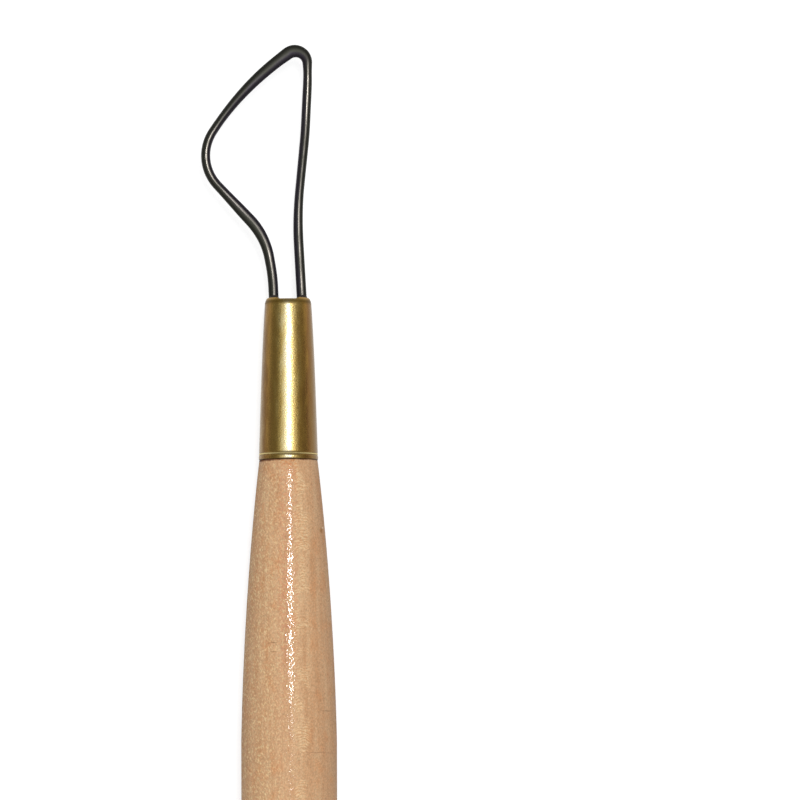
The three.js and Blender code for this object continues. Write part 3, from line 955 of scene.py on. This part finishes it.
def drawn_wire(end, name, body, flank, painted_highlight, highlight_width, along_stops, metallic, roughness):
    """Steel wire, drawn and then bent cold: fine marks run along it. A band of painted highlight runs
    along its upper and lower faces, its inner flank has another tint than the rest, and it is
    darker where it leaves the mouth."""
    material, tree, shader = material_named(name)
    coordinates = node(tree, "TexCoord")
    straight = node(tree, "Attribute", attribute_name="straight_place").outputs["Vector"]
    parts = node(tree, "SeparateXYZ", {"Vector": straight})

    # Stains 2.5 mm long shift the border between the two flanks
    stain_at = node(
        tree,
        "Mapping",
        {"Vector": straight, "Scale": (0.8 * MM, 2.5 * MM, 0.8 * MM)},
        vector_type="TEXTURE",
    )
    blotch = node(tree, "TexNoise", {"Vector": stain_at, "Scale": 1, "Detail": 3})
    shifted = node(tree, "Math", {0: blotch, 1: 1 * MM, 2: parts.outputs[0]}, operation="MULTIPLY_ADD")
    inner = node(tree, "MapRange", {0: shifted, 1: 0.35 * MM, 2: 0.95 * MM, 3: 0, 4: 1}, **EASED)
    flanked = node(tree, "Mix", {0: inner, 6: body, 7: flank}, data_type="RGBA")

    # The painted highlight lies on the faces that look up and down, leaned a little to one side
    upright = node(tree, "VectorMath", {0: coordinates.outputs["Normal"]}, operation="ABSOLUTE")
    faces = node(tree, "SeparateXYZ", {"Vector": coordinates.outputs["Normal"]})
    tops = node(tree, "SeparateXYZ", {"Vector": upright})
    leaned = node(
        tree,
        "Math",
        {0: faces.outputs[0], 1: end.direction * HIGHLIGHT_LEAN, 2: tops.outputs[2]},
        operation="MULTIPLY_ADD",
    )
    highlight_facing = node(
        tree,
        "MapRange",
        {
            0: leaned,
            1: math.cos(highlight_width) * math.hypot(1, HIGHLIGHT_LEAN),
            2: math.cos(highlight_width * 0.5) * math.hypot(1, HIGHLIGHT_LEAN),
            3: 0,
            4: 1,
        },
        **EASED,
    )
    whole = wire_length(end)
    run = node(tree, "MapRange", {0: parts.outputs[1], 1: 0, 2: whole, 3: 0, 4: 1})
    highlight_along = node(tree, "ValToRGB", {"Fac": run}, stops=spread(0, whole, along_stops))
    highlight_share = node(tree, "Math", {0: highlight_facing, 1: highlight_along}, operation="MULTIPLY")
    highlight_breakup = node(tree, "MapRange", {0: blotch, 1: 0.35, 2: 0.6, 3: 0.55, 4: 1})
    highlight_mask = node(tree, "Math", {0: highlight_share, 1: highlight_breakup}, operation="MULTIPLY")
    # Painted highlight: the pale colour is mixed in on those faces
    highlighted = node(tree, "Mix", {0: highlight_mask, 6: flanked, 7: painted_highlight}, data_type="RGBA")

    # Darker within half a millimetre of the mouth
    axes = node(tree, "SeparateXYZ", {"Vector": coordinates.outputs["Object"]})
    above = node(
        tree,
        "Math",
        {0: axes.outputs[1], 1: end.direction, 2: -end.direction * end.mouth},
        operation="MULTIPLY_ADD",
    )
    near_mouth = node(tree, "MapRange", {0: above, 1: 0.2 * MM, 2: 0.6 * MM, 3: 0.6, 4: 0}, **EASED)
    mouth_darkened = node(tree, "Mix", {0: near_mouth, 6: highlighted, 7: srgb("#2C2420")}, data_type="RGBA")

    # Draw marks 0.09 mm wide and 1.2 mm long
    mark_at = node(
        tree,
        "Mapping",
        {"Vector": straight, "Scale": (0.09 * MM, 1.2 * MM, 0.09 * MM)},
        vector_type="TEXTURE",
    )
    mark = node(tree, "TexNoise", {"Vector": mark_at, "Scale": 1, "Detail": 2})
    scored = node(tree, "Bump", {"Height": mark, "Strength": 0.35, "Distance": 0.01 * MM})
    # The wire is also smoother where its highlight is painted
    rough = node(tree, "MapRange", {0: highlight_mask, 1: 0, 2: 1, 3: roughness, 4: 0.6 * roughness})
    looks = {"Base Color": mouth_darkened, "Metallic": metallic, "Roughness": rough, "Normal": scored}
    connect(tree, shader, looks)
    return material


def dull_solder(name, colour):
    """Soft solder that has gone dull grey: a slightly lumpy skin of 0.3 mm grain."""
    material, tree, shader = material_named(name)
    place = node(tree, "TexCoord").outputs["Object"]
    lump_at = node(tree, "Mapping", {"Vector": place, "Scale": (0.3 * MM,) * 3}, vector_type="TEXTURE")
    lump = node(tree, "TexNoise", {"Vector": lump_at, "Scale": 1, "Detail": 4})
    dirty = node(tree, "Mix", {0: lump, 6: colour, 7: srgb("#3A302C")}, data_type="RGBA")
    lumps = node(tree, "Bump", {"Height": lump, "Strength": 0.4, "Distance": 0.03 * MM})
    looks = {"Base Color": dirty, "Metallic": 0.6, "Roughness": 0.5, "Normal": lumps}
    connect(tree, shader, looks)
    return material


def white_sweep():
    """Matt white paper. It lights the tool as paper does, and seen by the camera or in the metal it
    is the white of the background, with the tool's shadow on it."""
    material, tree, shader = material_named("white_sweep")
    tree.nodes.remove(shader)
    paper = node(tree, "BsdfDiffuse", {"Color": grey(0.45)})
    seen_paper = node(tree, "BsdfDiffuse", {"Color": grey(0.42)})
    glow = node(tree, "Emission", {"Color": grey(1), "Strength": 0.72})
    seen = node(tree, "AddShader", {0: seen_paper, 1: glow})
    ray = node(tree, "LightPath")
    first = node(
        tree,
        "Math",
        {0: ray.outputs["Is Camera Ray"], 1: ray.outputs["Is Glossy Ray"]},
        operation="MAXIMUM",
    )
    direct = node(tree, "Math", {0: first, 1: ray.outputs["Is Transmission Ray"]}, operation="MAXIMUM")
    both = node(tree, "MixShader", {0: direct, 1: paper, 2: seen})
    connect(tree, tree.nodes["Material Output"], {"Surface": both})
    return material


def softbox(name, place, width, length, power):
    """A rectangular lamp that looks straight down, its length along the tool."""
    lamp = bpy.data.lights.new(name, "AREA")
    lamp.shape = "RECTANGLE"
    lamp.size = width
    lamp.size_y = length
    lamp.energy = power
    holder = bpy.data.objects.new(name, lamp)
    holder.location = place
    holder.visible_camera = False
    bpy.context.scene.collection.objects.link(holder)


class LOOPTOOL_OT_stage(bpy.types.Operator):
    """Add the white sweep, the lamps and the camera."""

    bl_idname = "loop_tool.stage"
    bl_label = "Stage"

    def execute(self, context):
        settings = context.scene.loop_tool.stage
        heavy, _ = both_ends()
        rings = [(0.02, 0), (1.2, 0), (SWEEP_RADIUS, 0)]
        for k in range(1, SWEEP_STEPS + 1):
            angle = math.radians(90) * k / SWEEP_STEPS
            rings.append((SWEEP_RADIUS + SWEEP_BEND * math.sin(angle), SWEEP_BEND * (1 - math.cos(angle))))
        corners, faces = [], []
        for radius, height in rings:
            for k in range(SWEEP_SIDES):
                angle = 2 * math.pi * k / SWEEP_SIDES
                corners.append((radius * math.cos(angle), radius * math.sin(angle), height))
        for i in range(0, len(corners) - SWEEP_SIDES, SWEEP_SIDES):
            for k in range(SWEEP_SIDES):
                a, b = i + k, i + (k + 1) % SWEEP_SIDES
                faces.append((a, b, b + SWEEP_SIDES, a + SWEEP_SIDES))
        faces.append(tuple(reversed(range(SWEEP_SIDES))))
        mesh = bpy.data.meshes.new("sweep")
        mesh.from_pydata(corners, [], faces)
        mesh.shade_smooth()
        mesh.materials.append(white_sweep())
        sweep = bpy.data.objects.new("sweep", mesh)
        context.scene.collection.objects.link(sweep)

        height = settings.lamp_height
        softbox("key_softbox", (0.15, 0.3, height), width=settings.key_width, length=0.42, power=7.6)
        softbox("wide_softbox", (0, 0.05, height + 0.02), width=1.9, length=1.7, power=10.5)
        world = context.scene.world or bpy.data.worlds.new("studio")
        context.scene.world = world
        world.use_nodes = True
        backing = world.node_tree.nodes["Background"]
        connect(world.node_tree, backing, {"Color": grey(1), "Strength": 0.38})

        camera = bpy.data.cameras.new("camera")
        camera.lens = 300
        camera.sensor_width = 36
        camera.clip_start = 0.05
        camera.clip_end = 20
        holder = bpy.data.objects.new("camera", camera)
        aim = Vector((AIM_ASIDE, heavy.mouth - AIM_BEFORE_MOUTH, heavy.axis))
        tilt, roll = settings.camera_tilt, settings.camera_roll
        lean = math.sin(tilt)
        back = Vector((-math.sin(roll) * lean, -math.cos(roll) * lean, math.cos(tilt)))
        holder.location = aim + back * settings.camera_height
        holder.rotation_euler = (tilt, 0, -roll)
        context.scene.collection.objects.link(holder)
        context.scene.camera = holder
        context.scene.view_settings.view_transform = "Standard"
        return {"FINISHED"}


class LOOPTOOL_OT_handle(bpy.types.Operator):
    """Add the turned maple handle, with its two drilled spigots."""

    bl_idname = "loop_tool.handle"
    bl_label = "Handle"

    def execute(self, context):
        heavy, fine = both_ends()
        rings = [fine.ring(p.x, p.y) for p in wood_profile(fine)]
        # The other end's rings run the other way round
        for p in reversed(wood_profile(heavy)):
            ring = heavy.ring(p.x, p.y)
            rings.append([ring[(TURNED_SIDES // 2 - k) % TURNED_SIDES] for k in range(TURNED_SIDES)])
        # The belly's narrow flat lies on the floor
        rings = [[(x, y, max(z, 0)) for x, y, z in ring] for ring in rings]
        mesh = skin(rings)
        for end in (heavy, fine):
            for across in end.legs:
                mesh = combined(mesh, leg_drill(end, across), "DIFFERENCE")
        finish = context.scene.loop_tool.finish
        shown("wood_handle", mesh, lacquered_maple(finish.maple))
        return {"FINISHED"}


class LOOPTOOL_OT_ferrules(bpy.types.Operator):
    """Add the two tapered brass ferrules."""

    bl_idname = "loop_tool.ferrules"
    bl_label = "Ferrules"

    def execute(self, context):
        colour = context.scene.loop_tool.finish.brass
        heavy, fine = both_ends()
        for end, name, mottle, across_stops, along_stops in (
            (heavy, "heavy", 0.026 * MM, HEAVY_PAINTED_REFLECTION, RIM_PAINTED_LINES + HEAVY_LIP_PAINTED_LINES),
            (fine, "fine", 0.045 * MM, FINE_PAINTED_REFLECTION, RIM_PAINTED_LINES + FINE_LIP_PAINTED_LINES),
        ):
            outline, bore = end.outline(), end.bore()
            rim = end.sizes.rim_radius
            top = outline[-1]
            profile = [(rim + out * MM, along * MM) for out, along in RIM_BEAD]
            profile += [(p.x, p.y) for p in outline if p.y > RIM_END]
            for share, depth in LIP_EDGE_POINTS:
                profile.append((mix(top.x, bore[-1].x, share) - LIP_TUCK, end.length - depth * MM))
            profile += [(p.x, p.y) for p in reversed(bore) if p.y > BORE_START]
            profile.append((radius_at(bore, SEAM), RIM_BEAD[0][1] * MM))
            rings = [end.ring(radius, along, sagging=True) for radius, along in profile]
            material = satin_brass(end, f"satin_brass_{name}", colour, mottle, across_stops, along_stops)
            shown(f"{name}_ferrule", skin(rings, joined=True), material)
        return {"FINISHED"}


class LOOPTOOL_OT_wire_loops(bpy.types.Operator):
    """Add the two bent steel wires."""

    bl_idname = "loop_tool.wire_loops"
    bl_label = "Wire loops"

    def execute(self, context):
        finish = context.scene.loop_tool.finish
        heavy, fine = both_ends()
        # Oil blackened: a thin dark oxide, with a narrow band of painted highlight
        black = drawn_wire(
            heavy,
            "oil_blackened_steel",
            finish.black_steel,
            srgb("#2E2A31"),
            srgb("#87827A"),
            math.radians(13),
            HEAVY_HIGHLIGHT_ALONG,
            metallic=0.85,
            roughness=0.42,
        )
        # Bare spring steel, dulled by handling: a broad band of painted highlight along its top and
        # bottom, darker flanks beside it
        pale = drawn_wire(
            fine,
            "dulled_spring_steel",
            srgb("#878074"),
            srgb("#8A807C"),
            finish.pale_steel_painted_highlight,
            math.radians(55),
            FINE_HIGHLIGHT_ALONG,
            metallic=1,
            roughness=0.85,
        )
        shown("heavy_wire_loop", swept_wire(heavy, with_places=True), black)
        shown("fine_wire_loop", swept_wire(fine, with_places=True), pale)
        return {"FINISHED"}


class LOOPTOOL_OT_fillings(bpy.types.Operator):
    """Add the solder in the two ferrules' mouths."""

    bl_idname = "loop_tool.fillings"
    bl_label = "Fillings"

    def execute(self, context):
        solder = context.scene.loop_tool.finish.solder
        heavy, fine = both_ends()
        dark = filling_plug(heavy, drop=0.35 * MM, creep=0.8 * MM)
        dark = combined(dark, swept_wire(heavy, growth=-0.01 * MM), "DIFFERENCE")
        shown("heavy_solder_filling", dark, dull_solder("blackened_solder", srgb("#35322E")))
        pale = filling_plug(fine, drop=0.2 * MM, creep=0.4 * MM)
        pale = combined(pale, filling_web(fine), "UNION")
        pale = combined(pale, swept_wire(fine, growth=-0.01 * MM), "DIFFERENCE")
        shown("fine_solder_filling", pale, dull_solder("dull_solder", solder))
        return {"FINISHED"}


class LOOPTOOL_PT_sidebar(bpy.types.Panel):
    """Sizes, colours and steps of the loop tool."""

    bl_label = "Loop Tool"
    bl_idname = "LOOPTOOL_PT_sidebar"
    bl_space_type = "VIEW_3D"
    bl_region_type = "UI"
    bl_category = "Loop Tool"

    def draw(self, context):
        layout = self.layout
        settings = context.scene.loop_tool
        for title, group in (
            ("Thick loop's end", settings.heavy),
            ("Thin loop's end", settings.fine),
            ("Finish", settings.finish),
            ("Stage", settings.stage),
        ):
            box = layout.box()
            box.label(text=title)
            for name in group.__annotations__:
                box.prop(group, name)
        for step in STEPS:
            layout.operator(step.bl_idname)


STEPS = (
    LOOPTOOL_OT_stage,
    LOOPTOOL_OT_handle,
    LOOPTOOL_OT_ferrules,
    LOOPTOOL_OT_wire_loops,
    LOOPTOOL_OT_fillings,
)
CLASSES = (
    HeavyEndSettings,
    FineEndSettings,
    FinishSettings,
    StageSettings,
    ToolSettings,
    *STEPS,
    LOOPTOOL_PT_sidebar,
)


def register():
    for cls in CLASSES:
        bpy.utils.register_class(cls)
    bpy.types.Scene.loop_tool = PointerProperty(type=ToolSettings)


def unregister():
    del bpy.types.Scene.loop_tool
    for cls in reversed(CLASSES):
        bpy.utils.unregister_class(cls)


def main():
    register()
    bpy.ops.loop_tool.stage()
    bpy.ops.loop_tool.handle()
    bpy.ops.loop_tool.ferrules()
    bpy.ops.loop_tool.wire_loops()
    bpy.ops.loop_tool.fillings()


if __name__ == "__main__":
    main()
